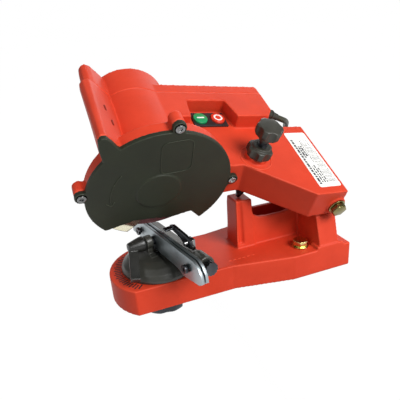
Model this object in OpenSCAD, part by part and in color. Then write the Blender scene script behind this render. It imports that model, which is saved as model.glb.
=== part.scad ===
// Electric sharpener for saw chain. A motor head with a thin grinding wheel swings down on a
// tilted pivot over a vise that turns on the round table of the base.
// X runs along the base from the vise to the pivot post, Y away from the operator, Z up.
// The origin is midway between the two bench bolts, on the underside of the base.

/* [Base] */
// Height of the hollow base casting
base_h = 25; // [22:1:32]
// Wall of the base casting
base_wall = 4; // [3:0.5:5]
// Distance from the bench bolts to the pivot
pivot_x = 26.9; // [25:0.1:29]
// Radius of the round table under the vise
table_r = 48; // [46:1:54]
// Distance from the middle of the base to the flat near side of the table
table_flat = 36; // [34:1:40]
// Half of the width of the base at the bench bolts
rear_half_w = 48.5; // [46:0.5:56]
// Distance from the bench bolts to the rear end of the base
rear_overhang = 46.5; // [42:1:55]

/* [Bench bolts] */
// Spacing of the two bench bolts across the base
bench_spacing = 64; // [58:1:66]
// Radius of a bench bolt
bench_bolt_r = 4; // [3:0.5:5]
// Length of a bench bolt below the base
bench_grip = 8; // [6:1:60]

/* [Head] */
// Tilt of the wheel axle and of the pivot above the horizontal
tilt = 30; // [28:0.5:32]
// Height of the middle of the guard above the base casting
head_rise = 84; // [82:1:92]
// Distance from the vise axis to the middle of the guard along the base
head_shift = 3.4; // [0:0.2:6]
// Distance from the middle of the base to the front of the guard
head_front = 29; // [26:1:32]

/* [Wheel and guard] */
// Radius of the grinding wheel
wheel_r = 54; // [50:0.5:55]
// Thickness of the grinding wheel
wheel_t = 3.2; // [3:0.1:4.8]
// Radius of the bore in the grinding wheel
wheel_bore_r = 11.1; // [10:0.05:12]
// Gap between the wheel and the outside of the guard
guard_gap = 8; // [7:0.5:11]
// Depth of the rim of the guard cover
cover_depth = 4.3; // [4:0.1:6]
// Wall of the guard cover
cover_wall = 2.5; // [2:0.1:2.6]

/* [Motor housing] */
// Outer radius of the motor housing
motor_r = 38; // [37:0.5:42]
// Wall of the motor housing
motor_wall = 3.5; // [3:0.1:4]
// Length of the rear cover behind its parting line
rear_len = 31; // [30:1:40]

/* [Arm] */
// Distance from the middle of the guard to the pivot along the arm
pivot_reach = 158.5; // [157:0.5:164]
// Depth of the pivot below the middle of the guard
pivot_drop = 25; // [22:1:28]
// Slope of the top face of the arm
arm_slope = 9.5; // [8:0.5:11]
// Wall of the arm
arm_wall = 3; // [2.5:0.1:3.4]
// Radius of the pivot bolt
pivot_r = 4; // [3:0.5:5]
// Height of the switch box above the arm
box_rise = 15.3; // [13:0.1:18]

/* [Depth stop] */
// Distance from the middle of the guard to the depth screw along the arm
stop_reach = 91.5; // [88:0.5:94]
// Radius of the depth screw
stop_screw_r = 4; // [3:0.5:5]
// Length of the depth screw below the top of the arm
stop_len = 48.6; // [46:0.2:54]
// Radius of the two lobed knobs on the depth screw
stop_knob_r = 12; // [11:0.5:15]

/* [Vise] */
// Turn of the vise at rest, from square to the arm
vise_rest = 12; // [0:1:30]
// Radius of the turning vise body
dome_r = 36; // [32:0.5:38]
// Height of the top of the rails above the table
rail_top = 37; // [35:0.5:38]
// Height of the rails
rail_h = 20; // [16:0.5:22]
// Thickness of a rail
rail_t = 2.5; // [2:0.1:3]
// Width of the slot that takes the drive links of the chain
chain_slot = 1.6; // [1.3:0.1:2]
// Reach of the rails towards the operator
rail_near = 84; // [78:1:90]

/* [Mains lead] */
// Radius of the mains lead
lead_r = 3; // [3:0.1:3.4]

/* [Hidden] */
$fn = 64;

// Small gap between faces that pass each other
gap = 0.3;
// Running clearance of a shaft in its bore
fit = 0.06;

// Frame of the head
head_x = pivot_x - pivot_reach;
vise_reach = head_shift - head_x;
head_y = -head_front;
head_z = base_h + head_rise;
guard_r = wheel_r + guard_gap;
rim_r = guard_r - 1.3;
rim_wall = 3;
rim_back = 15;
part_s = 88;
motor_back = part_s + rear_len;
bore_r = motor_r - motor_wall;
bearing_s = 18;
axle_x = -2;
axle_v = 1;
shaft_r = 5;
screw_post_r = 5.5;

// Arm, in the frame of the head: x along the arm, s along the axle, v up
arm_near = -37;
arm_far = 54;
arm_end = pivot_reach + 6.5;
arm_root = 76;
arm_turn = 131;
box_far = part_s + 12;
box_end = 129;
box_floor = -24;
cheek_boss = 1.2;
arm_plan = [[18, rim_back - 1], [60, rim_back - 1], [60, cover_depth], [arm_root, cover_depth],
            [arm_turn, arm_near], [arm_end, arm_near], [arm_end, arm_far], [18, arm_far]];
box_plan = [[0, arm_far - 1], [box_end - 7, arm_far - 1], [box_end, arm_far + 8], [box_end, part_s], [0, part_s]];
recess_x0 = 49;
recess_x1 = 83.5;
recess_s1 = 76;
panel_t = 1.6;
ledge = 0.2;

// Pieces on the wheel end of the spindle, by their distance behind the face of the guard
wheel_s = 8;
flange_t = 2.6;
flange_r = 17;
nut_s = wheel_s - flange_t;
spindle_end = nut_s - 3.9;

// Places of the three guard screws around the wheel
guard_screw_places = [[-63.5, 9], [12, 64.5], [65, -4.5]];

// Height of the arm's top face at x, and of the box's top face
function arm_top(x) = 20.5 - x * tan(arm_slope);
function box_top(x) = arm_top(x) + box_rise;

// A polygon drawn anticlockwise, with every side moved inwards by d
function unit(v) = v / norm(v);
function cross2(a, b) = a[0] * b[1] - a[1] * b[0];
function left_of(e) = [-e[1], e[0]];
function meet(p, a, q, b) = p + a * cross2(q - p, b) / cross2(a, b);
function inset(pts, d) = let (n = len(pts))
    [for (i = [0 : n - 1]) let (c = pts[i], a = unit(c - pts[(i + n - 1) % n]), b = unit(pts[(i + 1) % n] - c))
        meet(c + left_of(a) * d, a, c + left_of(b) * d, b)];

// A point of the head frame in the frame of the part
function head_point(x, s, v) = [head_x + x, head_y + s * cos(tilt) - v * sin(tilt),
                                head_z + s * sin(tilt) + v * cos(tilt)];

module in_head() { translate([head_x, head_y, head_z]) rotate([tilt, 0, 0]) children(); }
// A flat shape in x and v, drawn out along the axle from s0 to s1
module along(s0, s1) { translate([0, s1, 0]) rotate([90, 0, 0]) linear_extrude(s1 - s0) children(); }
module rod(r, s0, s1, x = 0, v = 0) { along(s0, s1) translate([x, v]) circle(r); }
module on_axle() { translate([axle_x, 0, axle_v]) children(); }
module ring(r_in, r_out, s0, s1) {
    along(s0, s1) difference() { circle(r_out); circle(r_in); }
}
// Square to the arm's top face at x and s
module on_arm(x, s) { translate([x, s, arm_top(x)]) rotate([0, arm_slope, 0]) children(); }
module in_vise() { translate([-vise_reach, 0, base_h]) rotate([0, 0, vise_rest]) children(); }
module hexagon(across) { circle(across / 2 / cos(30), $fn = 6); }
// A knob with scalloped lobes, standing on z = 0
module lobed_knob(r, h, bore) {
    linear_extrude(h) difference() {
        circle(r);
        for (i = [0 : 5]) rotate([0, 0, 60 * i]) translate([r * 1.17, 0]) circle(r * 0.3);
        circle(bore);
    }
}
// A block with its own taper at each side
module tapered_block(x0, x1, y0, y1, z0, z1, dx, dy) {
    intersection() {
        translate([0, y1 + 1, 0]) rotate([90, 0, 0]) linear_extrude(y1 - y0 + 2)
            polygon([[x0, z0], [x1, z0], [x1 - dx, z1], [x0 + dx, z1]]);
        translate([x0 - 1, 0, 0]) rotate([90, 0, 90]) linear_extrude(x1 - x0 + 2)
            polygon([[y0, z0], [y1, z0], [y1 - dy, z1], [y0 + dy, z1]]);
    }
}

// ---- Base ----
sleeve_r = 8;
sleeve_s0 = arm_near + arm_wall + gap;
sleeve_s1 = arm_far - arm_wall - gap;
web_t = 5;
flute_r = 3;
web_top = base_h + 28;
web_far = bench_spacing / 2 - 9.2;
tip_r = 3;
tip_point = head_point(stop_reach - stop_len * sin(arm_slope), 12, arm_top(stop_reach) - stop_len * cos(arm_slope));
post_top = tip_point[2] - tip_r - gap;
post_x0 = tip_point[0] - 7.5;
post_x1 = tip_point[0] + 9;
post_y0 = tip_point[1] - 10.5;
post_y1 = tip_point[1] + 12.5;
washer_r = 8.5;
pillar_x0 = washer_r + 3.9;
pillar_w = pivot_x + 6.5 - pillar_x0;
waist_x = -75;
flange_x = -15;
base_plan = [[-vise_reach, -table_flat], [waist_x, -table_flat], [flange_x, -rear_half_w],
             [rear_overhang, -rear_half_w], [rear_overhang, rear_half_w], [flange_x, rear_half_w],
             [waist_x, table_flat + 3], [-vise_reach, table_flat + 3]];
stud_r = 4;
boss_r = 12;

module table_outline(r) {
    difference() {
        translate([-vise_reach, 0]) circle(r);
        translate([-vise_reach - r - 1, -table_flat - 2 * r]) square([2 * r + 2, 2 * r]);
    }
}
module base_outline() { table_outline(table_r); polygon(base_plan); }
// Cross wall under the neck of the base
neck_x = -vise_reach + table_r + 2;
module base_cavity() {
    difference() {
        union() {
            intersection() {
                translate([-vise_reach, 0]) circle(table_r - base_wall);
                translate([-vise_reach - table_r, -table_flat + base_wall])
                    square([table_r + neck_x + vise_reach, 2 * table_r]);
            }
            intersection() {
                polygon(inset(base_plan, base_wall));
                translate([neck_x + base_wall, -2 * rear_half_w])
                    square([flange_x - neck_x - base_wall, 4 * rear_half_w]);
            }
            intersection() {
                polygon(inset(base_plan, base_wall));
                translate([flange_x + base_wall, -2 * rear_half_w]) square([rear_overhang, 4 * rear_half_w]);
            }
        }
        translate([-vise_reach, 0]) circle(boss_r);
        for (m = [-1, 1]) translate([0, m * bench_spacing / 2]) circle(bench_bolt_r + 5);
    }
}
module web_profile() {
    polygon([[post_x0 + 4, base_h - 1], [post_x0 + 4, web_top + 12], [post_x1 - 1, web_top + 9],
             [post_x1 + 2, web_top + 4], [post_x1 + 7, web_top + 1], [post_x1 + 16, web_top],
             [pillar_x0 - 16, web_top], [pillar_x0 - 8, web_top + 2], [pillar_x0 - 3, web_top + 6],
             [pillar_x0 + 2, web_top + 12], [pillar_x0 + 2, base_h - 1]]);
}
// The far and near side of the pivot web follow the tilt of the sleeve
near_foot = head_point(pivot_reach, sleeve_s0 + 1.5, -pivot_drop - 14);
near_top = head_point(pivot_reach, sleeve_s0 + 1.5, -pivot_drop - 4);
far_top = head_point(pivot_reach, sleeve_s1 - 1.5, -pivot_drop - 4);
far_low = head_point(pivot_reach, sleeve_s1 - 1.5, -pivot_drop - 30);
module pivot_web() {
    translate([pillar_x0, 0, 0]) rotate([90, 0, 90]) linear_extrude(pillar_w)
        polygon([[-rear_half_w + 0.5, base_h - 1], [rear_half_w - 4, base_h - 1], [far_low[1] + 3, far_low[2] - 20],
                 [far_low[1], far_low[2]], [far_top[1], far_top[2]], [near_top[1], near_top[2]],
                 [near_foot[1], near_foot[2]], [near_foot[1] - 2.5, near_foot[2] - 3.5]]);
}
module base() {
    color("#d8432a") difference() {
        union() {
            linear_extrude(base_h) base_outline();
            tapered_block(post_x0 - 1.5, post_x1 + 1.5, post_y0 - 1.5, post_y1 + 1.5, base_h - 1, post_top, 1.5, 1.5);
            translate([0, post_y0 + web_t, 0]) rotate([90, 0, 0]) linear_extrude(web_t) web_profile();
            translate([0, web_far, 0]) rotate([90, 0, 0]) linear_extrude(web_t) web_profile();
            translate([post_x0 + 4, post_y1 - 1, base_h - 1]) cube([6, web_far - post_y1, web_top - base_h + 1]);
            translate([pillar_x0 - 3, -rear_half_w, 0]) cube([pillar_w + 8, 12, base_h + 3]);
            pivot_web();
            in_head() rod(sleeve_r, sleeve_s0, sleeve_s1, pivot_reach, -pivot_drop);
        }
        translate([0, 0, -1]) linear_extrude(base_h - base_wall + 1) base_cavity();
        translate([-vise_reach, 0, -1]) cylinder(r = stud_r + gap, h = base_h + 2);
        for (m = [-1, 1]) translate([0, m * bench_spacing / 2, -1])
            cylinder(r = bench_bolt_r + gap, h = base_h + 2);
        in_head() rod(pivot_r + 1, sleeve_s0 - 10, sleeve_s1 + 10, pivot_reach, -pivot_drop);
        translate([post_x0 + 3.5, post_y0 - 1.5, base_h + 4]) cylinder(r = flute_r, h = 60);
    }
}
washer_t = 1.6;
// The plain shank is thinner than the rolled thread, which starts just below the base
shank_end = 0.3;
shank_r = bench_bolt_r - 0.5;
module bench_bolts() {
    color("#c9b458") for (m = [-1, 1]) translate([0, m * bench_spacing / 2, 0]) {
        translate([0, 0, base_h + washer_t]) linear_extrude(5.3) hexagon(13);
        translate([0, 0, -bench_grip]) cylinder(r = bench_bolt_r, h = bench_grip - shank_end);
        translate([0, 0, -shank_end - 0.1]) cylinder(r = shank_r, h = base_h + washer_t + shank_end + 0.2);
    }
}
module bench_washers() {
    color("#c9b458") for (m = [-1, 1]) translate([0, m * bench_spacing / 2, base_h])
        linear_extrude(washer_t) difference() { circle(washer_r); circle(bench_bolt_r + gap); }
}
module pivot_bushes() {
    color("#e8e4d8") in_head() translate([pivot_reach, 0, -pivot_drop])
        for (s = [sleeve_s0, sleeve_s1 - 12]) ring(pivot_r + fit, pivot_r + 1, s, s + 12);
}

// ---- Arm and motor housing ----
ear_front = [[-43, 34], [-46.7, 55], [-46.7, 63], [-44, 66.5], [-40.5, 66], [-36.5, 60.8], [-33, 55], [-27, 48], [-24, 30]];
ear_rear = [[-40.5, 14], [-46.2, 44], [-46.2, 50], [-43, 54], [-38, 54.3], [-34, 50], [-29, 43.5], [-23, 35], [-20, 26]];
ear_end = [[-39, 14], [-43.6, 38], [-43.6, 44.5], [-41, 48.8], [-37, 50.2], [-32.5, 48], [-28, 41.5], [-22.5, 35.5], [-19, 24]];
below_cut = [[-80, -80], [80, -80], [80, -60], [52, -50.5], [38.4, -48.3], [29.5, -36.4], [25.6, -36.6],
             [11.4, -39.3], [-9.2, -35], [-22.6, -33.1], [-48.8, -39.1], [-80, -60]];

module guard_cut(s0, s1) { along(s0, s1) polygon(below_cut); }
module ear_solid(grow) {
    hull() {
        along(cover_depth, cover_depth + 0.1) offset(delta = grow) polygon(ear_front);
        along(part_s - 0.1, part_s) offset(delta = grow) polygon(ear_rear);
    }
}
module arm_profile(top) {
    polygon([[10, box_floor], [arm_root, -26], [arm_turn, -34], [pivot_reach - 4, -pivot_drop - 12],
             [pivot_reach, -pivot_drop - 12], [pivot_reach + 6.5, -pivot_drop - 10.1],
             [arm_end, arm_top(arm_end) - top], [10, arm_top(10) - top]]);
}
module box_profile(top, floor_v) {
    polygon([[-5, floor_v], [box_end + 5, floor_v], [box_end + 5, box_top(box_end + 5) - top], [-5, box_top(-5) - top]]);
}
module arm_shell_solid() {
    intersection() {
        translate([0, 0, -100]) linear_extrude(200) polygon(arm_plan);
        along(arm_near - 1, arm_far + 1) arm_profile(0);
    }
}
module arm_cavity() {
    intersection() {
        translate([0, 0, -100]) linear_extrude(200) polygon(inset(arm_plan, arm_wall));
        along(arm_near, arm_far) polygon([[10, -60], [arm_end, -60], [arm_end, arm_top(arm_end) - arm_wall],
                                          [10, arm_top(10) - arm_wall]]);
    }
}
module box_cavity() {
    intersection() {
        translate([0, 0, -100]) linear_extrude(200)
            polygon([[10, arm_far + arm_wall], [box_end - 7 - arm_wall, arm_far + arm_wall],
                     [box_end - arm_wall, arm_far + 11], [box_end - arm_wall, part_s + 1], [10, part_s + 1]]);
        along(arm_far, part_s + 1) box_profile(arm_wall, box_floor + arm_wall);
    }
}
// The hollow in the top of the box where the switch sits
module switch_recess(grow) {
    intersection() {
        translate([0, 0, -100]) linear_extrude(200)
            polygon([[recess_x0 - 8 - grow, arm_far - 10], [recess_x1 + 7 + grow, arm_far - 10],
                     [recess_x1 + grow, recess_s1 + grow], [recess_x0 - 4 - grow, recess_s1 + grow]]);
        along(arm_far - 1, recess_s1 + grow) polygon([[0, arm_top(0) + ledge - grow], [130, arm_top(130) + ledge - grow],
                                                      [130, 60], [0, 60]]);
    }
}
cover_screw_places = [[44, -15], [112, -8]];
module arm_housing() {
    color("#dc452c") in_head() difference() {
        union() {
            difference() {
                union() {
                    rod(rim_r, cover_depth, rim_back);
                    for (p = guard_screw_places) rod(screw_post_r, cover_depth, rim_back, p[0], p[1]);
                }
                rod(rim_r - rim_wall, cover_depth - 1, rim_back - rim_wall);
                guard_cut(cover_depth - 1, rim_back + 1);
            }
            on_axle() ring(bore_r, motor_r, rim_back - rim_wall, part_s);
            on_axle() ring(8, bore_r + 1, rim_back, bearing_s);
            on_axle() ring(15 + fit, 19, bearing_s - 1, bearing_s + 9.5);
            difference() {
                ear_solid(0);
                ear_solid(-2.6);
                rod(rim_r - rim_wall, 0, rim_back - rim_wall);
                on_axle() rod(bore_r, 0, part_s + 1);
            }
            difference() {
                arm_shell_solid();
                difference() {
                    arm_cavity();
                    on_axle() rod(motor_r - 0.5, 0, 100);
                    on_arm(stop_reach, 12) translate([0, 0, -16]) cylinder(r = 9, h = 20);
                    rod(rim_r - 0.5, 0, rim_back);
                }
                on_axle() rod(bore_r, 0, 100);
                rod(rim_r - rim_wall, 0, rim_back - rim_wall);
            }
            difference() {
                intersection() {
                    translate([0, 0, -100]) linear_extrude(200) polygon(box_plan);
                    along(arm_far - 1, part_s) box_profile(0, box_floor);
                }
                difference() {
                    box_cavity();
                    switch_recess(2.4);
                    on_axle() rod(motor_r - 0.5, 0, 100);
                    for (p = cover_screw_places) rod(4, arm_far, part_s, p[0], p[1]);
                }
                switch_recess(0);
                on_axle() rod(bore_r, 0, 100);
            }
            on_arm(stop_reach, 12) translate([0, 0, -1]) cylinder(r = 10, h = 5);
            rod(9.5, arm_near - cheek_boss, arm_near + 1, pivot_reach, -pivot_drop);
            rod(9.5, arm_far - 1, arm_far + cheek_boss, pivot_reach, -pivot_drop);
        }
        on_arm(stop_reach, 12) translate([0, 0, -30]) cylinder(r = stop_screw_r + fit, h = 40);
        on_axle() rod(flange_r + 1.5, rim_back - rim_wall - 1, rim_back);
        // The end wall leaves room for the pivot sleeve and its post
        along(arm_near + arm_wall, arm_far - arm_wall) translate([pivot_reach - 20, -pivot_drop - 30])
            square([40, 43]);
        rod(pivot_r + fit, arm_near - 5, arm_near + arm_wall + 1, pivot_reach, -pivot_drop);
        rod(pivot_r + fit, arm_far - arm_wall - 1, arm_far + 5, pivot_reach, -pivot_drop);
        for (p = guard_screw_places) rod(2.05, cover_depth - 1, rim_back - 2, p[0], p[1]);
        for (p = cover_screw_places) rod(1.95, part_s - 22, part_s + 1, p[0], p[1]);
        translate([switch_x0 - gap, switch_s0 - gap, -30])
            cube([switch_len + 2 * gap, switch_wide + 2 * gap, 60]);
        for (x = [start_x, stop_x]) on_arm(x, button_s) translate([0, 0, -travel - gap])
            cylinder(r = button_r + gap, h = 10);
        at_lead() translate([0, 0, -9]) cylinder(r = lead_r + 1.5, h = 20);
    }
}
lead_s = 66;
lead_v = 6;
lead_drop = 30;
switch_x0 = 51;
switch_len = 28;
switch_s0 = 58.5;
switch_wide = 13;
switch_depth = 24;

module rear_cover() {
    color("#dc452c") in_head() difference() {
        union() {
            on_axle() rod(motor_r, part_s, motor_back);
            hull() {
                along(part_s, part_s + 0.1) polygon(ear_end);
                along(motor_back - 2, motor_back - 1.9) offset(delta = -1) polygon(ear_end);
            }
            intersection() {
                translate([0, 0, -100]) linear_extrude(200)
                    polygon([[0, part_s], [box_end, part_s], [box_end, box_far - 2], [box_end - 2, box_far], [0, box_far]]);
                along(part_s, box_far) box_profile(0.4, box_floor);
            }
        }
        difference() {
            union() {
                on_axle() rod(bore_r, part_s - 1, motor_back - 3);
                intersection() {
                    translate([10, part_s - 1, -60]) cube([box_end - arm_wall - 10, box_far - part_s - arm_wall + 1, 120]);
                    along(part_s - 1, box_far) box_profile(arm_wall, box_floor + arm_wall);
                }
            }
            on_axle() ring(bore_r - 0.01, motor_r - 0.5, part_s - 2, box_far);
            on_axle() ring(11 + fit, 14, motor_back - 16, motor_back);
            on_axle() ring(8, 12, rear_seat + 7, motor_back);
            for (p = cover_screw_places) rod(4.5, part_s, box_far, p[0], p[1]);
        }
        hull() {
            along(part_s - 1, part_s) offset(delta = -2.6) polygon(ear_end);
            along(motor_back - 12, motor_back - 11) offset(delta = -4) polygon(ear_end);
        }
        for (p = cover_screw_places) {
            rod(2.2, part_s - 1, box_far + 1, p[0], p[1]);
            rod(3.9, box_far - 3, box_far + 1, p[0], p[1]);
        }
        // Cooling slots through the end wall
        on_axle() for (v = [-24 : 6 : 24]) if (abs(v) > 15) for (m = [-1, 1])
            along(motor_back - 4, motor_back + 1) translate([m * 11 - 8, v - 1.4]) square([16, 2.8]);
        on_axle() for (m = [-1, 1]) for (v = [-12 : 6 : 12])
            along(motor_back - 4, motor_back + 1) translate([m * 24 - 5, v - 1.4]) square([10, 2.8]);
    }
}
module housing_screws() {
    color("#8f9296") in_head() for (p = cover_screw_places) {
        difference() {
            rod(3.5, box_far - 3, box_far - 0.5, p[0], p[1]);
            along(box_far - 1.5, box_far) translate([p[0] - 2.2, p[1] - 0.4]) square([4.4, 0.8]);
            along(box_far - 1.5, box_far) translate([p[0] - 0.4, p[1] - 2.2]) square([0.8, 4.4]);
        }
        rod(1.9, part_s - 20, box_far - 2.9, p[0], p[1]);
    }
}
pivot_head_s = arm_near - cheek_boss - washer_t;
pivot_nut_s = arm_far + cheek_boss + washer_t;
module pivot_bolt() {
    color("#b5a65a") in_head() translate([pivot_reach, 0, -pivot_drop]) {
        along(pivot_head_s - 5, pivot_head_s) hexagon(13);
        rod(pivot_r, pivot_head_s - 0.1, pivot_nut_s + 7);
    }
}
module pivot_nut() {
    color("#b5a65a") in_head() translate([pivot_reach, 0, -pivot_drop]) {
        along(pivot_nut_s, pivot_nut_s + 5) difference() { hexagon(13); circle(pivot_r + fit / 2); }
        ring(pivot_r + fit / 2, 5.6, pivot_nut_s + 5, pivot_nut_s + 6.5);
    }
}
module pivot_washers() {
    color("#b9bcc0") in_head() translate([pivot_reach, 0, -pivot_drop])
        for (s = [pivot_head_s, pivot_nut_s - washer_t]) ring(pivot_r + gap, 8.2, s, s + washer_t);
}

// ---- Guard cover and its fasteners ----
module guard_cover() {
    color("#343830") in_head() difference() {
        union() {
            rod(guard_r, 0, cover_depth);
            along(0, cover_depth) polygon(ear_front);
            for (p = guard_screw_places) rod(screw_post_r, 0, cover_depth, p[0], p[1]);
            on_axle() rod(19, -1.4, 1);
        }
        difference() {
            rod(guard_r - 2.8, cover_wall, cover_depth + 1);
            along(0, cover_depth) difference() {
                polygon(ear_front);
                circle(guard_r - 2.8);
            }
        }
        on_axle() rod(17.4, 0.9, cover_depth);
        guard_cut(-3, cover_depth + 1);
        for (p = guard_screw_places) rod(2.3, -1, cover_depth + 1, p[0], p[1]);
        for (p = guard_screw_places) rod(4.1, -1, 1.6, p[0], p[1]);
    }
}
module guard_screws() {
    color("#9a9da0") in_head() for (p = guard_screw_places) {
        difference() {
            rod(3.7, -0.8, 1.6, p[0], p[1]);
            along(-1.5, 0.6) translate([p[0], p[1]]) hexagon(3);
        }
        rod(1.95, 1.5, rim_back - 2.5, p[0], p[1]);
    }
}
shield_hole = [-40, -24];
module spark_shield() {
    color([0.85, 0.83, 0.6, 0.5]) in_head() difference() {
        along(cover_wall, cover_wall + 1.5) intersection() {
            circle(guard_r - 3.4);
            polygon([[-56, -18], [-56, -30], [-46, -50], [-30, -51.5], [-17, -40], [-17, -24], [-27, -18]]);
        }
        rod(1.8, 0, 8, shield_hole[0], shield_hole[1]);
    }
}
module shield_screw() {
    color("#9a9da0") in_head() difference() {
        union() {
            rod(1.7, cover_wall, cover_wall + 2, shield_hole[0], shield_hole[1]);
            rod(3, cover_wall + 1.5, cover_wall + 3, shield_hole[0], shield_hole[1]);
        }
        along(cover_wall + 2.2, cover_wall + 4) translate([shield_hole[0] - 2, shield_hole[1] - 0.35]) square([4, 0.7]);
    }
}
label_t = 0.3;
module rating_label() {
    color("#eeeeea") in_head() on_arm(arm_end - 15, 7) translate([-12.2, -36.5, 0]) linear_extrude(label_t) {
        translate([2, 0]) square([20.4, 73]);
        translate([0, 2]) square([24.4, 69]);
        for (x = [2, 22.4]) for (y = [2, 71]) translate([x, y]) circle(2, $fn = 24);
    }
}

// ---- Switch ----
start_x = 56;
stop_x = 74;
button_s = 65;
button_r = 7;
travel = 1.6;
module switch_panel() {
    color("#23262a") in_head() difference() {
        on_arm(0, 0) translate([recess_x0, arm_far + 1, ledge]) linear_extrude(panel_t)
            polygon([[0, 0], [recess_x1 - recess_x0 - 0.5, 0], [recess_x1 - recess_x0 - 0.5, recess_s1 - arm_far - 3],
                     [0, recess_s1 - arm_far - 3]]);
        for (x = [start_x, stop_x]) on_arm(x, button_s) translate([0, 0, -1]) cylinder(r = button_r + gap, h = 5);
    }
}
module switch_body() {
    color("#2d2f33") in_head() difference() {
        intersection() {
            translate([switch_x0, switch_s0, -30]) cube([switch_len, switch_wide, 60]);
            along(switch_s0, switch_s0 + switch_wide) polygon([[40, arm_top(40) - switch_depth],
                [95, arm_top(95) - switch_depth], [95, arm_top(95)], [40, arm_top(40)]]);
        }
        for (x = [start_x, stop_x]) on_arm(x, button_s) translate([0, 0, -12]) cylinder(r = 3 + gap, h = 20);
        for (x = [start_x, stop_x]) on_arm(x, button_s) translate([0, 0, -travel - gap]) cylinder(r = button_r + gap, h = 10);
    }
}
module push_button(x) {
    in_head() on_arm(x, button_s) {
        cylinder(r = button_r, h = panel_t + 2);
        translate([0, 0, -9]) cylinder(r = 3, h = 9.1);
    }
}
module start_button() { color("#1d9c4c") push_button(start_x); }
module stop_button() { color("#d63a1e") push_button(stop_x); }

// ---- Motor ----
core_s0 = 44;
core_s1 = 76;
commutator_s = 87;
brush_s = 92;
module stator_core() {
    color("#8a8d90") in_head() on_axle() along(core_s0, core_s1) difference() {
        circle(bore_r - 0.02);
        circle(22.4);
        for (m = [-1, 1]) translate([m * 27 - 3.5, -15]) square([7, 30]);
    }
}
module field_windings() {
    color("#b4652c") in_head() on_axle() {
        for (m = [-1, 1]) along(core_s0, core_s1) translate([m * 27 - 3.4, -14.8]) square([6.8, 29.6]);
        for (s = [core_s0 - 7, core_s1]) along(s, s + 7) difference() {
            circle(30.5);
            circle(23);
            for (m = [-1, 1]) translate([-4, m * 27 - 6]) square([8, 12]);
        }
    }
}
module carbon_brushes() {
    color("#26262a") in_head() on_axle() for (m = [-1, 1]) mirror([m > 0 ? 0 : 1, 0, 0])
        difference() {
            along(brush_s - 4, brush_s + 4) translate([10, -3]) square([14, 6]);
            rod(11.3, brush_s - 5, brush_s + 5);
        }
}
module brush_holders() {
    color("#caa64a") in_head() on_axle() for (m = [-1, 1]) mirror([m > 0 ? 0 : 1, 0, 0])
        along(brush_s - 6, brush_s + 6) difference() {
            intersection() {
                translate([13, -5]) square([bore_r, 10]);
                circle(bore_r - 0.07);
            }
            translate([12, -3.05]) square([12.05, 6.1]);
        }
}
module bearing(r_in, r_out, s0, s1) {
    difference() {
        ring(r_in, r_out, s0, s1);
        ring((2 * r_in + r_out) / 3, (r_in + 2 * r_out) / 3, s0 - 1, s0 + 0.6);
        ring((2 * r_in + r_out) / 3, (r_in + 2 * r_out) / 3, s1 - 0.6, s1 + 1);
    }
}
module front_bearing() { color("#b9bcc0") in_head() on_axle() bearing(shaft_r + fit, 15, bearing_s, bearing_s + 9); }
rear_seat = motor_back - 14;
module rear_bearing() { color("#b9bcc0") in_head() on_axle() bearing(4 + fit, 11, rear_seat, rear_seat + 7); }
module spindle() {
    color("#9fa3a8") in_head() on_axle() {
        rod(shaft_r, spindle_end, rear_seat - 1);
        rod(4, rear_seat - 1.1, rear_seat + 8);
        rod(7.5, wheel_s + wheel_t + 3, bearing_s);
        rod(7.5, bearing_s + 9, bearing_s + 10.5);
    }
}
module rotor_core() {
    color("#7d8084") in_head() on_axle() along(core_s0, core_s1) difference() {
        circle(21.9);
        circle(shaft_r + fit / 2);
        for (i = [0 : 11]) rotate([0, 0, 30 * i]) translate([15, -1.6]) square([5, 3.2]);
        for (i = [0 : 11]) rotate([0, 0, 30 * i]) translate([19, -0.8]) square([4, 1.6]);
    }
}
module armature_windings() {
    color("#a85a26") in_head() on_axle() for (s = [core_s0 - 5, core_s1]) ring(9, 19, s, s + 5);
}
module commutator() {
    color("#b87a3c") in_head() on_axle() along(commutator_s, commutator_s + 11) difference() {
        circle(11);
        circle(shaft_r + fit / 2);
        for (i = [0 : 11]) rotate([0, 0, 30 * i]) translate([9.8, -0.3]) square([3, 0.6]);
    }
}
module cooling_fan() {
    color("#3a3d42") in_head() on_axle() {
        ring(shaft_r + fit / 2, 9, 30, 36);
        ring(8.2, 30, 35.1, 36.2);
        for (i = [0 : 8]) rotate([0, 40 * i, 0]) translate([8, 30.4, -0.7]) cube([20.5, 5, 1.4]);
    }
}
module inner_flange() {
    color("#9a9da1") in_head() on_axle() {
        difference() {
            ring(shaft_r + fit / 2, flange_r, wheel_s + wheel_t, wheel_s + wheel_t + 3);
            ring(10, 14.5, wheel_s + wheel_t - 1, wheel_s + wheel_t + 0.5);
        }
        ring(shaft_r + fit / 2, wheel_bore_r - fit, wheel_s + 0.4, wheel_s + wheel_t + 0.1);
    }
}
module outer_flange() {
    color("#9a9da1") in_head() on_axle() difference() {
        ring(shaft_r + fit / 2, flange_r, wheel_s - flange_t, wheel_s);
        ring(9, 14.5, wheel_s - 0.5, wheel_s + 1);
    }
}
module arbor_nut() {
    color("#6d7075") in_head() on_axle() along(nut_s - 3.6, nut_s) difference() {
        hexagon(17);
        circle(shaft_r + fit / 2);
    }
}
module grinding_wheel() {
    color("#8a5a60") in_head() on_axle() ring(wheel_bore_r, wheel_r, wheel_s, wheel_s + wheel_t);
}

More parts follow.
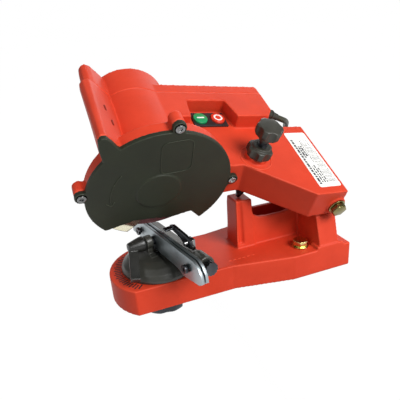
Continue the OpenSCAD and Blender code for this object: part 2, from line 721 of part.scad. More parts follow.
// ---- Depth stop ----
module depth_screw() {
    color("#33383f") in_head() on_arm(stop_reach, 12) {
        translate([0, 0, -stop_len + 2]) cylinder(r = stop_screw_r, h = stop_len - 2 + knob_z + 5);
        translate([0, 0, -stop_len]) rotate_extrude()
            polygon(concat([[0, -tip_r], [0.8, -tip_r]],
                           [for (a = [-60 : 15 : 0]) [tip_r * cos(a), tip_r * sin(a)]], [[tip_r, 4], [0, 4]]));
    }
}
lock_knob_z = 4 + gap;
module depth_lock_knob() {
    color("#3c3d3b") in_head() on_arm(stop_reach, 12) translate([0, 0, lock_knob_z]) {
        lobed_knob(stop_knob_r, 9, stop_screw_r + fit);
        linear_extrude(11) difference() { circle(8.5); circle(stop_screw_r + fit); }
    }
}
knob_z = 21;
module depth_knob() {
    color("#3c3d3b") in_head() on_arm(stop_reach, 12) translate([0, 0, knob_z]) difference() {
        union() {
            translate([0, 0, 3]) lobed_knob(stop_knob_r, 13, 0.01);
            cylinder(r1 = 7, r2 = 9, h = 3.1);
        }
        translate([0, 0, -1]) cylinder(r = stop_screw_r + fit / 2, h = 6 + fit);
    }
}

// ---- Vise ----
rail_half = chain_slot / 2;
rail_out = rail_half + rail_t;
rail_low = rail_top - rail_h;
rail_far = -48;
rail_screw_places = [62.6, -28];
clamp_z = 27;
jaw_travel = 1;
screw_out = rail_out + jaw_travel + gap;
adjuster_n = 13;
module rail_outline(hole_r) {
    difference() {
        union() {
            polygon([[rail_far, rail_low + 2], [rail_far + 6, rail_low + 2], [42, rail_low + 1.5], [48, rail_low],
                     [54, rail_low - 2], [rail_near - 5, rail_low + 1], [rail_near, rail_low + 4],
                     [rail_near - 1, rail_top - 9], [rail_near - 5, rail_top - 3.5], [rail_near - 11, rail_top],
                     [rail_far + 12, rail_top], [rail_far, rail_top - 9]]);
        }
        for (u = rail_screw_places) translate([u, rail_top - 10.4]) circle(hole_r);
    }
}
// A flat shape in distance towards the operator and height, drawn out across the rails from n0 to n1
module across(n0, n1) { translate([n0, 0, 0]) rotate([90, 0, -90]) mirror([0, 0, 1]) linear_extrude(n1 - n0) children(); }
jaw_out = 20;
module vise_body() {
    color("#4a4b44") in_vise() difference() {
        union() {
            translate([0, 0, gap]) rotate_extrude()
                polygon([[stud_r + 1, 0], [dome_r, 0], [dome_r, 3], [dome_r - 2, 7], [dome_r - 7, 11.5],
                         [dome_r - 14, 15], [stud_r + 1, 16]]);
            intersection() {
                across(rail_out, jaw_out) polygon([[-34, 8], [-33, 31], [62, 31], [66, 27], [65, 21], [56, 17], [34, 15], [30, 8]]);
                translate([0, 70, 0]) rotate([90, 0, 0]) linear_extrude(140)
                    polygon([[rail_out, 4], [jaw_out - 2, 4], [jaw_out, 12], [jaw_out - 1, 27], [rail_out + 6, 31],
                             [rail_out, 31]]);
            }
            across(-12, -6) polygon([[-13, 4], [-9, 31], [-6, 34], [6, 34], [9, 31], [13, 4]]);
            translate([adjuster_n, -50, 24]) rotate([90, 0, 0]) cylinder(r = 8, h = 16);
        }
        translate([0, 0, -1]) cylinder(r = stud_r + fit, h = 20);
        // Space under the rails, and the slot that lets the drive links pass
        across(-rail_out - jaw_travel - gap, rail_out) polygon([[-60, rail_low - 3.5], [100, rail_low - 3.5],
                                                                [100, 60], [-60, 60]]);
        across(-13, 0) translate([0, clamp_z]) circle(4 + fit);
        for (u = rail_screw_places) across(0, adjuster_n - 3.4) translate([u, rail_top - 10.4]) circle(2);
        translate([adjuster_n, -30, 24]) rotate([90, 0, 0]) cylinder(r = 3 + fit, h = 40);
    }
}
module vise_stud() {
    color("#7f8287") in_vise() {
        translate([0, 0, -base_h - 16]) cylinder(r = stud_r, h = base_h + 16 + 10);
    }
}
module vise_lock_knob() {
    color("#262b33") in_vise() translate([0, 0, -base_h - gap - 17]) {
        lobed_knob(24, 13, stud_r + fit);
        translate([0, 0, 12.9]) linear_extrude(4.1) difference() { circle(11.5); circle(stud_r + fit); }
    }
}
module fixed_rail() { color("#7d8b90") in_vise() across(rail_half, rail_out) rail_outline(2); }
module moving_rail() { color("#7d8b90") in_vise() across(-rail_out, -rail_half) rail_outline(2.6); }
module rail_screws() {
    color("#26282b") in_vise() for (u = rail_screw_places) {
        across(-screw_out, adjuster_n - 3.6) translate([u, rail_top - 10.4]) circle(1.95);
        across(-screw_out - 2.6, -screw_out) translate([u, rail_top - 10.4]) difference() {
            circle(3.8);
            intersection() { circle(2); hexagon(3); }
        }
    }
}
module clamp_screw() {
    color("#55585c") in_vise() across(-27, -rail_out) translate([0, clamp_z]) circle(4);
}
module clamp_lever() {
    color("#1f2022") in_vise() {
        difference() {
            union() {
                across(-26.5, -14) translate([0, clamp_z]) circle(7.2);
                across(-28.5, -26.4) translate([0, clamp_z]) circle(6);
                across(-14.1, -12.4) translate([0, clamp_z]) circle(6.2);
                translate([-20, 0, clamp_z]) rotate([-55, 0, 0]) rotate([0, 20, 0])
                    translate([-4.2, -5.5, -34]) cube([4.4, 11, 30]);
                translate([-20, 0, clamp_z]) rotate([-55, 0, 0]) rotate([0, 20, 0])
                    translate([-6.5, -5.5, -36]) cube([6.5, 11, 3]);
            }
            across(-27.2, -10) translate([0, clamp_z]) circle(4 + fit);
        }
    }
}
stop_u = 44;
stop_z = rail_top + 1;
module chain_stop() {
    color("#3f4347") in_vise() difference() {
        union() {
            across(rail_out + 5, rail_out + 7.5) polygon([[stop_u + 5, stop_z - 4], [stop_u + 6, stop_z + 3],
                [stop_u - 2, stop_z + 6], [20, stop_z + 8], [14, stop_z + 6], [15, stop_z + 3], [32, stop_z],
                [stop_u - 4, stop_z - 5]]);
            translate([rail_half, -21, stop_z + 4]) cube([rail_out + 5.1 - rail_half, 6, 1.6]);
        }
        across(0, 20) translate([stop_u, stop_z]) circle(2.06);
    }
}
module stop_pin() {
    color("#9a9da0") in_vise() {
        across(rail_out + 2, rail_out + 11) translate([stop_u, stop_z]) circle(2);
        across(rail_out + 8, rail_out + 11) difference() {
            translate([stop_u - 4, rail_top - 6]) square([8, 10]);
            translate([stop_u, stop_z]) circle(1.9);
        }
    }
}
module stop_adjuster() {
    color("#3a3d40") in_vise() translate([adjuster_n, 0, 24]) rotate([90, 0, 0]) {
        translate([0, 0, 36]) cylinder(r = 3, h = 34);
        difference() {
            translate([0, 0, 66.8]) cylinder(r = 6, h = 7);
            for (i = [0 : 11]) rotate([0, 0, 30 * i]) translate([6.4, 0, 66]) cylinder(r = 0.9, h = 9, $fn = 16);
        }
    }
}

// ---- Mains lead ----
relief_len = 22;
module at_lead() { translate([box_end, lead_s, lead_v]) rotate([0, 90 + lead_drop, 0]) children(); }
// Point on the axis of the strain relief, d from the side of the box
function lead_exit(d) = head_point(box_end + d * cos(lead_drop), lead_s, lead_v - d * sin(lead_drop));
coil_centre = [88, 98, 0];
coil_r = 32;
coil_tall = 3;
coil_wide = 3;
coil_out = coil_r + coil_wide * lead_r;
coil_in = coil_r - coil_wide * lead_r;
coil_h = 2 * lead_r * coil_tall;
// The lead comes down in an arc that runs onto the outer turn at the coil's near side
coil_side = coil_centre + [-coil_r - 2 * lead_r, -22.2, 15.3];
// Route of the lead from the strain relief to the side of the coil behind the base
lead_route = [lead_exit(10), lead_exit(relief_len - 0.5), head_point(153, 67.5, -8.5), head_point(159, 71, -15),
              head_point(164, 76, -25), [37, 57.5, 108], [42, 63.5, 86], [46.5, 67.5, 62], [49, 69.5, 40],
              [50, 72.4, 21], coil_side];

module strain_relief() {
    color("#26282a") in_head() at_lead() difference() {
        union() {
            translate([0, 0, -8]) cylinder(r = lead_r + 1.45, h = 10);
            translate([0, 0, 3.7]) cylinder(r = lead_r + 3, h = 2.4);
            cylinder(r = lead_r + 1.45, h = 5);
            translate([0, 0, 6]) cylinder(r1 = lead_r + 2.4, r2 = lead_r + 0.9, h = relief_len - 6);
        }
        translate([0, 0, -9]) cylinder(r = lead_r + 0.02, h = relief_len + 10);
        translate([0, 0, relief_len - 3]) cylinder(r1 = lead_r, r2 = lead_r + 0.6, h = 3.01);
    }
}
// A round tube swept along points, one ring of eight corners at each
function tangent(p, i) = unit(p[min(i + 1, len(p) - 1)] - p[max(i - 1, 0)]);
function side_of(t) = unit(cross(t, abs(t[2]) > 0.9 ? [1, 0, 0] : [0, 0, 1]));
sides = 8;
module tube(p, r) {
    n = len(p);
    pts = [for (i = [0 : n - 1]) let (t = tangent(p, i), a = side_of(t), b = cross(t, a))
               for (k = [0 : sides - 1]) p[i] + r * (a * cos(k * 360 / sides) + b * sin(k * 360 / sides))];
    walls = [for (i = [0 : n - 2]) for (k = [0 : sides - 1])
                 [i * sides + k, i * sides + (k + 1) % sides, (i + 1) * sides + (k + 1) % sides, (i + 1) * sides + k]];
    first_cap = [[for (k = [0 : sides - 1]) sides - 1 - k]];
    last_cap = [[for (k = [0 : sides - 1]) (n - 1) * sides + k]];
    polyhedron(points = pts, faces = concat(walls, first_cap, last_cap), convexity = 6);
}
module mains_lead() { color("#33352a") tube(lead_route, lead_r); }
module lead_coil() {
    color("#33352a") translate(coil_centre) rotate_extrude()
        translate([coil_in, 0]) square([coil_out - coil_in, coil_h]);
}
plug_wide = 35.3;
plug_tall = 13.7;
pin_spacing = 18.6;
// The plug lies beside the coil, in line with the end of the outer turn
module at_plug() {
    translate([coil_centre[0] + 37.4, coil_centre[1] + coil_r + 2 * lead_r, plug_tall / 2]) rotate([0, 0, -90])
        children();
}
module plug() {
    color("#2a2c28") at_plug() {
        linear_extrude(plug_tall, center = true)
            polygon([[-8, 0], [8, 0], [plug_wide / 2, 12], [plug_wide / 2, 26], [-plug_wide / 2, 26],
                     [-plug_wide / 2, 12]]);
        rotate([90, 0, 0]) cylinder(r1 = 6, r2 = 4.2, h = 13.9);
    }
}
module plug_pins() {
    color("#c0c3c6") at_plug() for (m = [-1, 1]) translate([m * pin_spacing / 2, 26, 0])
        rotate([-90, 0, 0]) cylinder(r = 2, h = 19);
}

base();
bench_bolts();
bench_washers();
pivot_bushes();
arm_housing();
rear_cover();
housing_screws();
pivot_bolt();
pivot_nut();
pivot_washers();
guard_cover();
guard_screws();
spark_shield();
shield_screw();
rating_label();
switch_panel();
switch_body();
start_button();
stop_button();
stator_core();
field_windings();
carbon_brushes();
brush_holders();
front_bearing();
rear_bearing();
spindle();
rotor_core();
armature_windings();
commutator();
cooling_fan();
inner_flange();
outer_flange();
arbor_nut();
grinding_wheel();
depth_screw();
depth_knob();
depth_lock_knob();
vise_body();
vise_stud();
vise_lock_knob();
fixed_rail();
rail_screws();
moving_rail();
clamp_screw();
clamp_lever();
chain_stop();
stop_pin();
stop_adjuster();
strain_relief();
mains_lead();
lead_coil();
plug();
plug_pins();
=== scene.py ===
import bpy
from math import radians, sin, cos, tan, pi
from mathutils import Vector, Matrix


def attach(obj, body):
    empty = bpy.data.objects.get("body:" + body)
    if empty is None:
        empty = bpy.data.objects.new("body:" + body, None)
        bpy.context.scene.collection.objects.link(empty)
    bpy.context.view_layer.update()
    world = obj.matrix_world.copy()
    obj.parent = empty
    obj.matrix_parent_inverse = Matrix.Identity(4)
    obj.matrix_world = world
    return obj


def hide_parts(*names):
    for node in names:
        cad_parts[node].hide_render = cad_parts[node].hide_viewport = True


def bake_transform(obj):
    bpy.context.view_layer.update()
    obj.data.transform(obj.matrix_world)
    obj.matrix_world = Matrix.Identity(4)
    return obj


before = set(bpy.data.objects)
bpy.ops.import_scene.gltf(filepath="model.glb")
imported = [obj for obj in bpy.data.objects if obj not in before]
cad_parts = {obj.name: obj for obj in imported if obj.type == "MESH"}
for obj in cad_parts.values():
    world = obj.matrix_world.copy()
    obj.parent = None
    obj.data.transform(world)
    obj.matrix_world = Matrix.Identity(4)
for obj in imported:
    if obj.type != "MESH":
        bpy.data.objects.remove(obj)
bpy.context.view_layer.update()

# ---- Camera ----
# The view stands to the left of the operator's side and looks down a little on the vise.
turn, lift, lean = radians(-18.43), radians(22.11), radians(-4.86)
flat_right = Vector((cos(turn), sin(turn), 0))
backward = Vector((sin(turn) * cos(lift), -cos(turn) * cos(lift), sin(lift)))
flat_up = backward.cross(flat_right)
view_right = cos(lean) * flat_right + sin(lean) * flat_up
view_up = cos(lean) * flat_up - sin(lean) * flat_right
bpy.ops.object.select_all(action="DESELECT")
bpy.ops.object.camera_add()
camera = bpy.context.object
camera.matrix_world = Matrix.Translation((-0.2046, -0.3469, 0.2301)) @ Matrix(
    (view_right, view_up, backward)).transposed().to_4x4()
camera.data.lens = 37.78
camera.data.sensor_width = 36
camera.data.clip_start = 0.01
bpy.context.scene.camera = camera
bpy.context.scene.view_settings.view_transform = "Standard"

# ---- Mains lead ----
# A round lead in soft dark PVC leaves the switch box through a rubber sleeve, hangs behind the
# arm down to the bench, and lies there in a coil with a flat two-pin plug on its end.
# The tilted head's x runs along the arm, its y along the wheel axle towards the motor.
tilted = Matrix.Rotation(radians(30), 4, "X")
head = Matrix.Translation((-0.1316, -0.029, 0.109)) @ tilted
lead_d = 0.006
# Where the lead leaves the side of the switch box, how steeply, and where it is free of the box
lead_exit = Vector((0.129, 0.066, 0.006))
lead_drop = radians(30)


def exit_point(d):
    """Point on the axis of the sleeve, d from the side of the switch box."""
    return head @ (lead_exit + Vector((d * cos(lead_drop), 0, -d * sin(lead_drop))))


# The loose part: out of the sleeve beside the arm, then down behind it onto the bench
loose = [exit_point(0.010), exit_point(0.0215)]
loose += [head @ Vector(p) for p in [(0.153, 0.0675, -0.0085), (0.159, 0.071, -0.015), (0.164, 0.076, -0.025)]]
loose += [Vector(p) / 1000 for p in [(37, 57.5, 108), (42, 63.5, 86), (46.5, 67.5, 62), (49, 69.5, 40),
                                     (50, 72.4, 21), (50, 75.8, 14.2), (50, 81.6, 8), (50, 89, 4.3)]]
coil_middle = Vector((0.088, 0.098, 0))


def coil_point(r, angle, z):
    """Point of the coil at a radius and a height above the bench, in millimetres."""
    return coil_middle + Vector((r / 1000 * cos(angle), r / 1000 * sin(angle), z / 1000))


# Each turn of the coil starts at this radius and height, keeps them for its first part and then
# eases over to those of the next
turns = [(38, 3.1), (32, 3.1), (26, 3.1), (26, 9.1), (32, 9.1), (26, 15.1), (32, 15.1), (38, 15.1), (38, 9.1)]
steps, kept = 24, 0.2
coiled = []
for (r0, z0), (r1, z1) in zip(turns, turns[1:]):
    for k in range(steps):
        w = max(0.0, (k / steps - kept) / (1 - kept))
        w = w * w * (3 - 2 * w)
        coiled.append(coil_point(r0 + (r1 - r0) * w, pi - 2 * pi * (k / steps), z0 + (z1 - z0) * w))
coiled += [coil_point(38, radians(a), 9.1) for a in (180, 165, 150, 135, 120, 105, 92)]
tail = [Vector(p) / 1000 for p in [(94, 136, 8.7), (100, 136, 7.9), (106, 136, 7.1), (111.5, 136, 6.85),
                                   (115, 136, 6.85)]]
route = loose + coiled + tail


def pick(piece):
    """Select one piece alone and make it the active one."""
    bpy.ops.object.select_all(action="DESELECT")
    piece.select_set(True)
    bpy.context.view_layer.objects.active = piece


def lead_tube(name, points, radius):
    """A round tube along a smooth curve through the points, made a mesh."""
    curve = bpy.data.curves.new(name, "CURVE")
    curve.dimensions = "3D"
    curve.bevel_depth = radius
    curve.bevel_resolution = 4
    curve.resolution_u = 6
    curve.use_fill_caps = True
    spline = curve.splines.new("BEZIER")
    spline.bezier_points.add(len(points) - 1)
    for knot, point in zip(spline.bezier_points, points):
        knot.co = point
        knot.handle_left_type = knot.handle_right_type = "AUTO"
    obj = bpy.data.objects.new(name, curve)
    bpy.context.scene.collection.objects.link(obj)
    pick(obj)
    bpy.ops.object.convert(target="MESH")
    bpy.ops.object.shade_smooth()
    return bpy.context.object


def settle(piece, name, place=Matrix.Identity(4)):
    """Name a finished piece and put its place into its mesh."""
    piece.name = name
    piece.data.name = name
    piece.matrix_world = place @ piece.matrix_basis
    pick(piece)
    bpy.ops.object.transform_apply(location=True, rotation=True, scale=True)
    return piece


lead = settle(lead_tube("lead", route, lead_d / 2), "lead")


def new_group(name, inputs, outputs):
    """An empty node group with named sockets."""
    group = bpy.data.node_groups.new(name, "ShaderNodeTree")
    for label, value in inputs:
        socket = group.interface.new_socket(label, in_out="INPUT", socket_type="NodeSocketFloat")
        socket.default_value = value
    for label in outputs:
        group.interface.new_socket(label, in_out="OUTPUT", socket_type="NodeSocketFloat")
    return group, group.nodes.new("NodeGroupInput"), group.nodes.new("NodeGroupOutput")


def grain_group():
    """Fine grain, broad clouds and the eased edges of a piece, each from 0 to 1."""
    scales = [("Fine", 900.0), ("Broad", 40.0)]
    group, inner, outer = new_group("fine_grain", scales, ["Cloud", "Height", "Edge"])
    link = group.links.new
    where = group.nodes.new("ShaderNodeTexCoord")
    for label, detail, out in (("Fine", 3, "Height"), ("Broad", 5, "Cloud")):
        noise = group.nodes.new("ShaderNodeTexNoise")
        noise.inputs["Detail"].default_value = detail
        noise.inputs["Roughness"].default_value = 0.6
        link(where.outputs["Object"], noise.inputs["Vector"])
        link(inner.outputs[label], noise.inputs["Scale"])
        link(noise.outputs["Fac"], outer.inputs[out])
    shape = group.nodes.new("ShaderNodeNewGeometry")
    rim = group.nodes.new("ShaderNodeMapRange")
    rim.inputs["From Min"].default_value = 0.52
    rim.inputs["From Max"].default_value = 0.60
    link(shape.outputs["Pointiness"], rim.inputs["Value"])
    link(rim.outputs["Result"], outer.inputs["Edge"])
    return group


fine_grain = grain_group()


def moulded(name, colour, lighter, rough, fine=900, broad=40, depth=0.00004, coat=0.0, edge=None, **extra):
    """A moulded or painted surface: two close tones in clouds over a fine grain, and a painted highlight that
    makes it paler on its edges.
    """
    mat = bpy.data.materials.new(name)
    mat.use_nodes = True
    nodes, link = mat.node_tree.nodes, mat.node_tree.links.new
    skin = nodes["Principled BSDF"]
    skin.inputs["Coat Weight"].default_value = coat
    skin.inputs["Coat Roughness"].default_value = 0.25
    for label, value in extra.items():
        skin.inputs[label.replace("_", " ")].default_value = value
    grain = nodes.new("ShaderNodeGroup")
    grain.node_tree = fine_grain
    grain.inputs["Fine"].default_value = fine
    grain.inputs["Broad"].default_value = broad
    tones = nodes.new("ShaderNodeValToRGB")
    tones.color_ramp.elements[0].position, tones.color_ramp.elements[0].color = 0.3, (*colour, 1)
    tones.color_ramp.elements[1].position, tones.color_ramp.elements[1].color = 0.7, (*lighter, 1)
    gloss = nodes.new("ShaderNodeMapRange")
    gloss.inputs["To Min"].default_value = rough - 0.07
    gloss.inputs["To Max"].default_value = rough + 0.07
    relief = nodes.new("ShaderNodeBump")
    relief.inputs["Strength"].default_value = 1.0
    relief.inputs["Distance"].default_value = depth
    link(grain.outputs["Cloud"], tones.inputs["Fac"])
    tone = tones.outputs["Color"]
    # Convex edges are painted paler, a painted highlight for the light that rounded edges catch.
    if edge:
        edge_highlight = nodes.new("ShaderNodeMix")
        edge_highlight.data_type = "RGBA"
        edge_highlight.inputs[7].default_value = (*edge, 1)
        link(grain.outputs["Edge"], edge_highlight.inputs[0])
        link(tone, edge_highlight.inputs[6])
        tone = edge_highlight.outputs[2]
    link(tone, skin.inputs["Base Color"])
    link(grain.outputs["Cloud"], gloss.inputs["Value"])
    link(gloss.outputs["Result"], skin.inputs["Roughness"])
    link(grain.outputs["Height"], relief.inputs["Height"])
    link(relief.outputs["Normal"], skin.inputs["Normal"])
    return mat


def finish(piece, mat, body=None, stands_for=()):
    """Give a new piece its material, its body and the plain solids it stands for."""
    piece.data.materials.clear()
    piece.data.materials.append(mat)
    if body:
        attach(piece, body)
    if stands_for:
        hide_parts(*stands_for)
    return piece


lead_pvc = moulded("lead_pvc", (0.024, 0.026, 0.014), (0.040, 0.042, 0.024), 0.42, fine=1400, broad=60)
finish(lead, lead_pvc, stands_for=("mains_lead", "lead_coil"))
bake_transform(lead)


def turned(name, profile, around=40):
    """Turn a half profile of radius and height, in millimetres, once round the z axis."""
    mesh = bpy.data.meshes.new(name)
    points = [(r / 1000, 0, z / 1000) for r, z in profile]
    mesh.from_pydata(points, [(i, i + 1) for i in range(len(points) - 1)], [])
    piece = bpy.data.objects.new(name, mesh)
    bpy.context.scene.collection.objects.link(piece)
    pick(piece)
    bpy.ops.object.mode_set(mode="EDIT")
    bpy.ops.mesh.select_all(action="SELECT")
    bpy.ops.mesh.spin(steps=around, angle=2 * pi, center=(0, 0, 0), axis=(0, 0, 1))
    bpy.ops.mesh.select_all(action="SELECT")
    bpy.ops.mesh.remove_doubles(threshold=0.00002)
    bpy.ops.mesh.normals_make_consistent(inside=False)
    bpy.ops.object.mode_set(mode="OBJECT")
    bpy.ops.object.shade_smooth_by_angle(angle=radians(35))
    return piece


# Strain relief: a short, tapered black rubber sleeve with a collar and four fine ridges, pushed
# through the side of the box. Its profile is in radius and distance from the side of the box.
sleeve_profile = [(0, -8), (4.45, -8), (4.45, 3.6), (4.9, 3.8), (5.0, 4.2), (5.0, 5.0), (4.8, 5.4), (4.1, 5.8)]
ridges, first_ridge, ridge_pitch = 4, 6.4, 1.9
for i in range(ridges):
    d = first_ridge + i * ridge_pitch
    r = 4.0 - 0.5 * i / (ridges - 1)
    sleeve_profile += [(r, d), (r - 0.08, d + 1.2), (r - 0.24, d + 1.4), (r - 0.24, d + 1.6)]
sleeve_profile += [(3.4, 13.8), (3.02, 14.2), (0, 14.2)]
sleeve_place = head @ Matrix.Translation(lead_exit) @ Matrix.Rotation(pi / 2 + lead_drop, 4, "Y")
rubber_black = moulded("rubber_black", (0.018, 0.019, 0.012), (0.030, 0.031, 0.020), 0.5, fine=1600, broad=90)
sleeve = settle(turned("sleeve", sleeve_profile), "lead_sleeve", sleeve_place)
finish(sleeve, rubber_black, "arm", ("strain_relief",))


def merged(node, name):
    """A merged copy of a plain solid, ready to be worked on."""
    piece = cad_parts[node].copy()
    piece.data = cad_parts[node].data.copy()
    bpy.context.scene.collection.objects.link(piece)
    piece.parent = None
    piece.matrix_world = Matrix.Identity(4)
    piece.name = piece.data.name = name
    piece.hide_render = False
    pick(piece)
    bpy.ops.object.mode_set(mode="EDIT")
    bpy.ops.mesh.select_all(action="SELECT")
    bpy.ops.mesh.remove_doubles(threshold=0.00001)
    bpy.ops.object.mode_set(mode="OBJECT")
    return piece


def rounded(node, name, width=0.0008, segments=3, sharp=32):
    """A copy of a plain solid with its edges bevelled round."""
    piece = merged(node, name)
    bpy.ops.object.mode_set(mode="EDIT")
    bpy.ops.mesh.select_all(action="SELECT")
    bpy.ops.mesh.dissolve_limited(angle_limit=radians(0.6))
    bpy.ops.object.mode_set(mode="OBJECT")
    edge = piece.modifiers.new("edge", "BEVEL")
    edge.limit_method = "ANGLE"
    edge.angle_limit = radians(sharp)
    edge.width = width
    edge.segments = segments
    edge.use_clamp_overlap = True
    edge.miter_outer = "MITER_ARC"
    bpy.ops.object.modifier_apply(modifier="edge")
    bpy.ops.object.shade_smooth_by_angle(angle=radians(38))
    return piece


def eased(piece, voxel, passes=3, triangles=100000):
    """Ease every edge and corner of a piece, as a mould leaves them, within a number of triangles."""
    pick(piece)
    skin = piece.modifiers.new("skin", "REMESH")
    skin.mode = "VOXEL"
    skin.voxel_size = voxel
    bpy.ops.object.modifier_apply(modifier="skin")
    soft = piece.modifiers.new("soft", "SMOOTH")
    soft.factor = 0.5
    soft.iterations = passes
    bpy.ops.object.modifier_apply(modifier="soft")
    if 2 * len(piece.data.polygons) > triangles:
        thin = piece.modifiers.new("thin", "DECIMATE")
        thin.ratio = triangles / (2 * len(piece.data.polygons))
        bpy.ops.object.modifier_apply(modifier="thin")
    bpy.ops.object.shade_smooth()
    even = piece.modifiers.new("even", "WEIGHTED_NORMAL")
    even.weight = 60
    bpy.ops.object.modifier_apply(modifier="even")
    return piece


def cast(node, name, voxel, passes, triangles, mat, body):
    """An eased copy of a plain solid, finished and standing for it."""
    return finish(eased(merged(node, name), voxel, passes, triangles), mat, body, (node,))


def fitted(node, name, width, segments, mat, body):
    """A bevelled copy of a plain solid, finished and standing for it."""
    return finish(rounded(node, name, width, segments), mat, body, (node,))


# Plug: a moulded rubber body, eased all over, on two round nickel-plated pins.
plug = cast("plug", "plug_body", 0.0007, 4, 30000, rubber_black, "stand")


def metal(name, colour, lighter, rough, streak=(1, 1, 1), fine=600, depth=0.00001, metallic=1.0, **extra):
    """Bare or plated metal: fine streaks, which may be drawn out along an axis, and cloudy gloss."""
    mat = moulded(name, colour, lighter, rough, fine=fine, broad=55, depth=depth, **extra)
    nodes, link = mat.node_tree.nodes, mat.node_tree.links.new
    nodes["Principled BSDF"].inputs["Metallic"].default_value = metallic
    where = nodes.new("ShaderNodeTexCoord")
    stretch = nodes.new("ShaderNodeMapping")
    stretch.inputs["Scale"].default_value = streak
    lines = nodes.new("ShaderNodeTexNoise")
    lines.inputs["Scale"].default_value = fine
    lines.inputs["Detail"].default_value = 2
    link(where.outputs["Object"], stretch.inputs["Vector"])
    link(stretch.outputs["Vector"], lines.inputs["Vector"])
    link(lines.outputs["Fac"], nodes["Bump"].inputs["Height"])
    return mat


nickel = metal("pin_nickel", (0.62, 0.62, 0.60), (0.74, 0.74, 0.72), 0.22)
pins = fitted("plug_pins", "plug_contacts", 0.0006, 3, nickel, "stand")

# ---- Bench, floor and light ----
# A white bench top carries the base, the coil and the plug; the round table and its lock knob
# overhang the bench's edge, over a white floor. A strong soft lamp stands in front to the right,
# a weak one on the left and one behind.
white = bpy.data.materials.new("white_ground")
white.use_nodes = True
w_nodes, w_link = white.node_tree.nodes, white.node_tree.links.new
w_nodes["Principled BSDF"].inputs["Base Color"].default_value = (0.3, 0.3, 0.3, 1)
w_nodes["Principled BSDF"].inputs["Roughness"].default_value = 0.9


def seen_directly(nodes, link):
    """1 for rays from the camera, a mirror surface or glass, else 0."""
    path = nodes.new("ShaderNodeLightPath")
    last = path.outputs["Is Camera Ray"]
    for label in ("Is Glossy Ray", "Is Transmission Ray"):
        either = nodes.new("ShaderNodeMath")
        either.operation = "MAXIMUM"
        link(last, either.inputs[0])
        link(path.outputs[label], either.inputs[1])
        last = either.outputs[0]
    return last


# Where it is seen directly, most of the white glows, and the rest of it shows the shadow
glow_share = w_nodes.new("ShaderNodeMath")
glow_share.operation = "MULTIPLY"
glow_share.inputs[1].default_value = 0.92
glow = w_nodes.new("ShaderNodeEmission")
glow.inputs["Strength"].default_value = 1.08
blend_in = w_nodes.new("ShaderNodeMixShader")
w_link(seen_directly(w_nodes, w_link), glow_share.inputs[0])
w_link(glow_share.outputs[0], blend_in.inputs["Fac"])
w_link(w_nodes["Principled BSDF"].outputs[0], blend_in.inputs[1])
w_link(glow.outputs[0], blend_in.inputs[2])
w_link(blend_in.outputs[0], w_nodes["Material Output"].inputs["Surface"])
bpy.ops.object.select_all(action="DESELECT")
bpy.ops.mesh.primitive_plane_add(size=60, location=(0, 0, -0.024))
ground = bpy.context.object
ground.name = "ground"
bpy.ops.mesh.primitive_cube_add(size=1, location=(0.365, 0.1, -0.0121))
bench_top = bpy.context.object
bench_top.scale = (0.9, 1.0, 0.0238)
settle(bench_top, "bench_top")
for stage_piece in (ground, bench_top):
    stage_piece.data.materials.append(white)

world = bpy.data.worlds.new("studio")
bpy.context.scene.world = world
world.use_nodes = True
s_nodes, s_link = world.node_tree.nodes, world.node_tree.links.new
sky = s_nodes["Background"]
sky.inputs["Color"].default_value = (1, 1, 1, 1)
sky.inputs["Strength"].default_value = 0.29
bright = s_nodes.new("ShaderNodeBackground")
bright.inputs["Color"].default_value = (1, 1, 1, 1)
bright.inputs["Strength"].default_value = 1.0
s_path = s_nodes.new("ShaderNodeLightPath")
s_mix = s_nodes.new("ShaderNodeMixShader")
s_link(s_path.outputs["Is Camera Ray"], s_mix.inputs["Fac"])
s_link(sky.outputs[0], s_mix.inputs[1])
s_link(bright.outputs[0], s_mix.inputs[2])
s_link(s_mix.outputs[0], s_nodes["World Output"].inputs["Surface"])


def soft_light(name, place, power, size):
    """A square lamp that faces the middle of the object."""
    bpy.ops.object.light_add(type="AREA", location=place)
    lamp = bpy.context.object
    lamp.name = name
    lamp.data.energy = power
    lamp.data.size = size
    from_middle = Vector(place) - Vector((-0.05, 0, 0.08))
    lamp.rotation_euler = from_middle.to_track_quat("Z", "Y").to_euler()


soft_light("front_light", (0.36, -1.02, 0.84), 19.5, 0.6)
soft_light("left_light", (-0.95, -0.35, 0.75), 1.8, 0.6)
soft_light("back_light", (0.55, 0.95, 0.7), 4.0, 0.8)

# ---- Base ----
# A hollow casting in red powder coat: a round table for the vise, a stop post and a pivot post
# joined by two webs. A degree scale of cast ribs is on the table, the shade between them painted
# as black strokes, and a row of short dashes is cast beside the neck.
cast_red = moulded("cast_red", (0.58, 0.042, 0.015), (0.68, 0.056, 0.022), 0.50, fine=1000, broad=30,
                   depth=0.00012, edge=(0.84, 0.115, 0.055), Specular_IOR_Level=0.22)
cast("base", "base_casting", 0.0009, 3, 120000, cast_red, "stand")


def joined(pieces, name):
    """Several pieces made one."""
    bpy.ops.object.select_all(action="DESELECT")
    for piece in pieces:
        piece.select_set(True)
    bpy.context.view_layer.objects.active = pieces[0]
    bpy.ops.object.join()
    return settle(bpy.context.object, name)


def bars(name, places, size, thick=0.0002):
    """Small raised bars: one is modelled, copied to each place, and the copies are made one piece."""
    bpy.ops.object.select_all(action="DESELECT")
    bpy.ops.mesh.primitive_cube_add(size=1)
    model = bpy.context.object
    model.scale = size
    bpy.ops.object.transform_apply(scale=True)
    soft = model.modifiers.new("soft", "BEVEL")
    soft.width = thick
    soft.segments = 2
    bpy.ops.object.modifier_apply(modifier="soft")
    made = []
    for place in places:
        bar = model.copy()
        bar.data = model.data.copy()
        bpy.context.scene.collection.objects.link(bar)
        made.append(settle(bar, name, place))
    bpy.data.objects.remove(model)
    piece = joined(made, name)
    bpy.ops.object.shade_smooth_by_angle(angle=radians(35))
    return piece
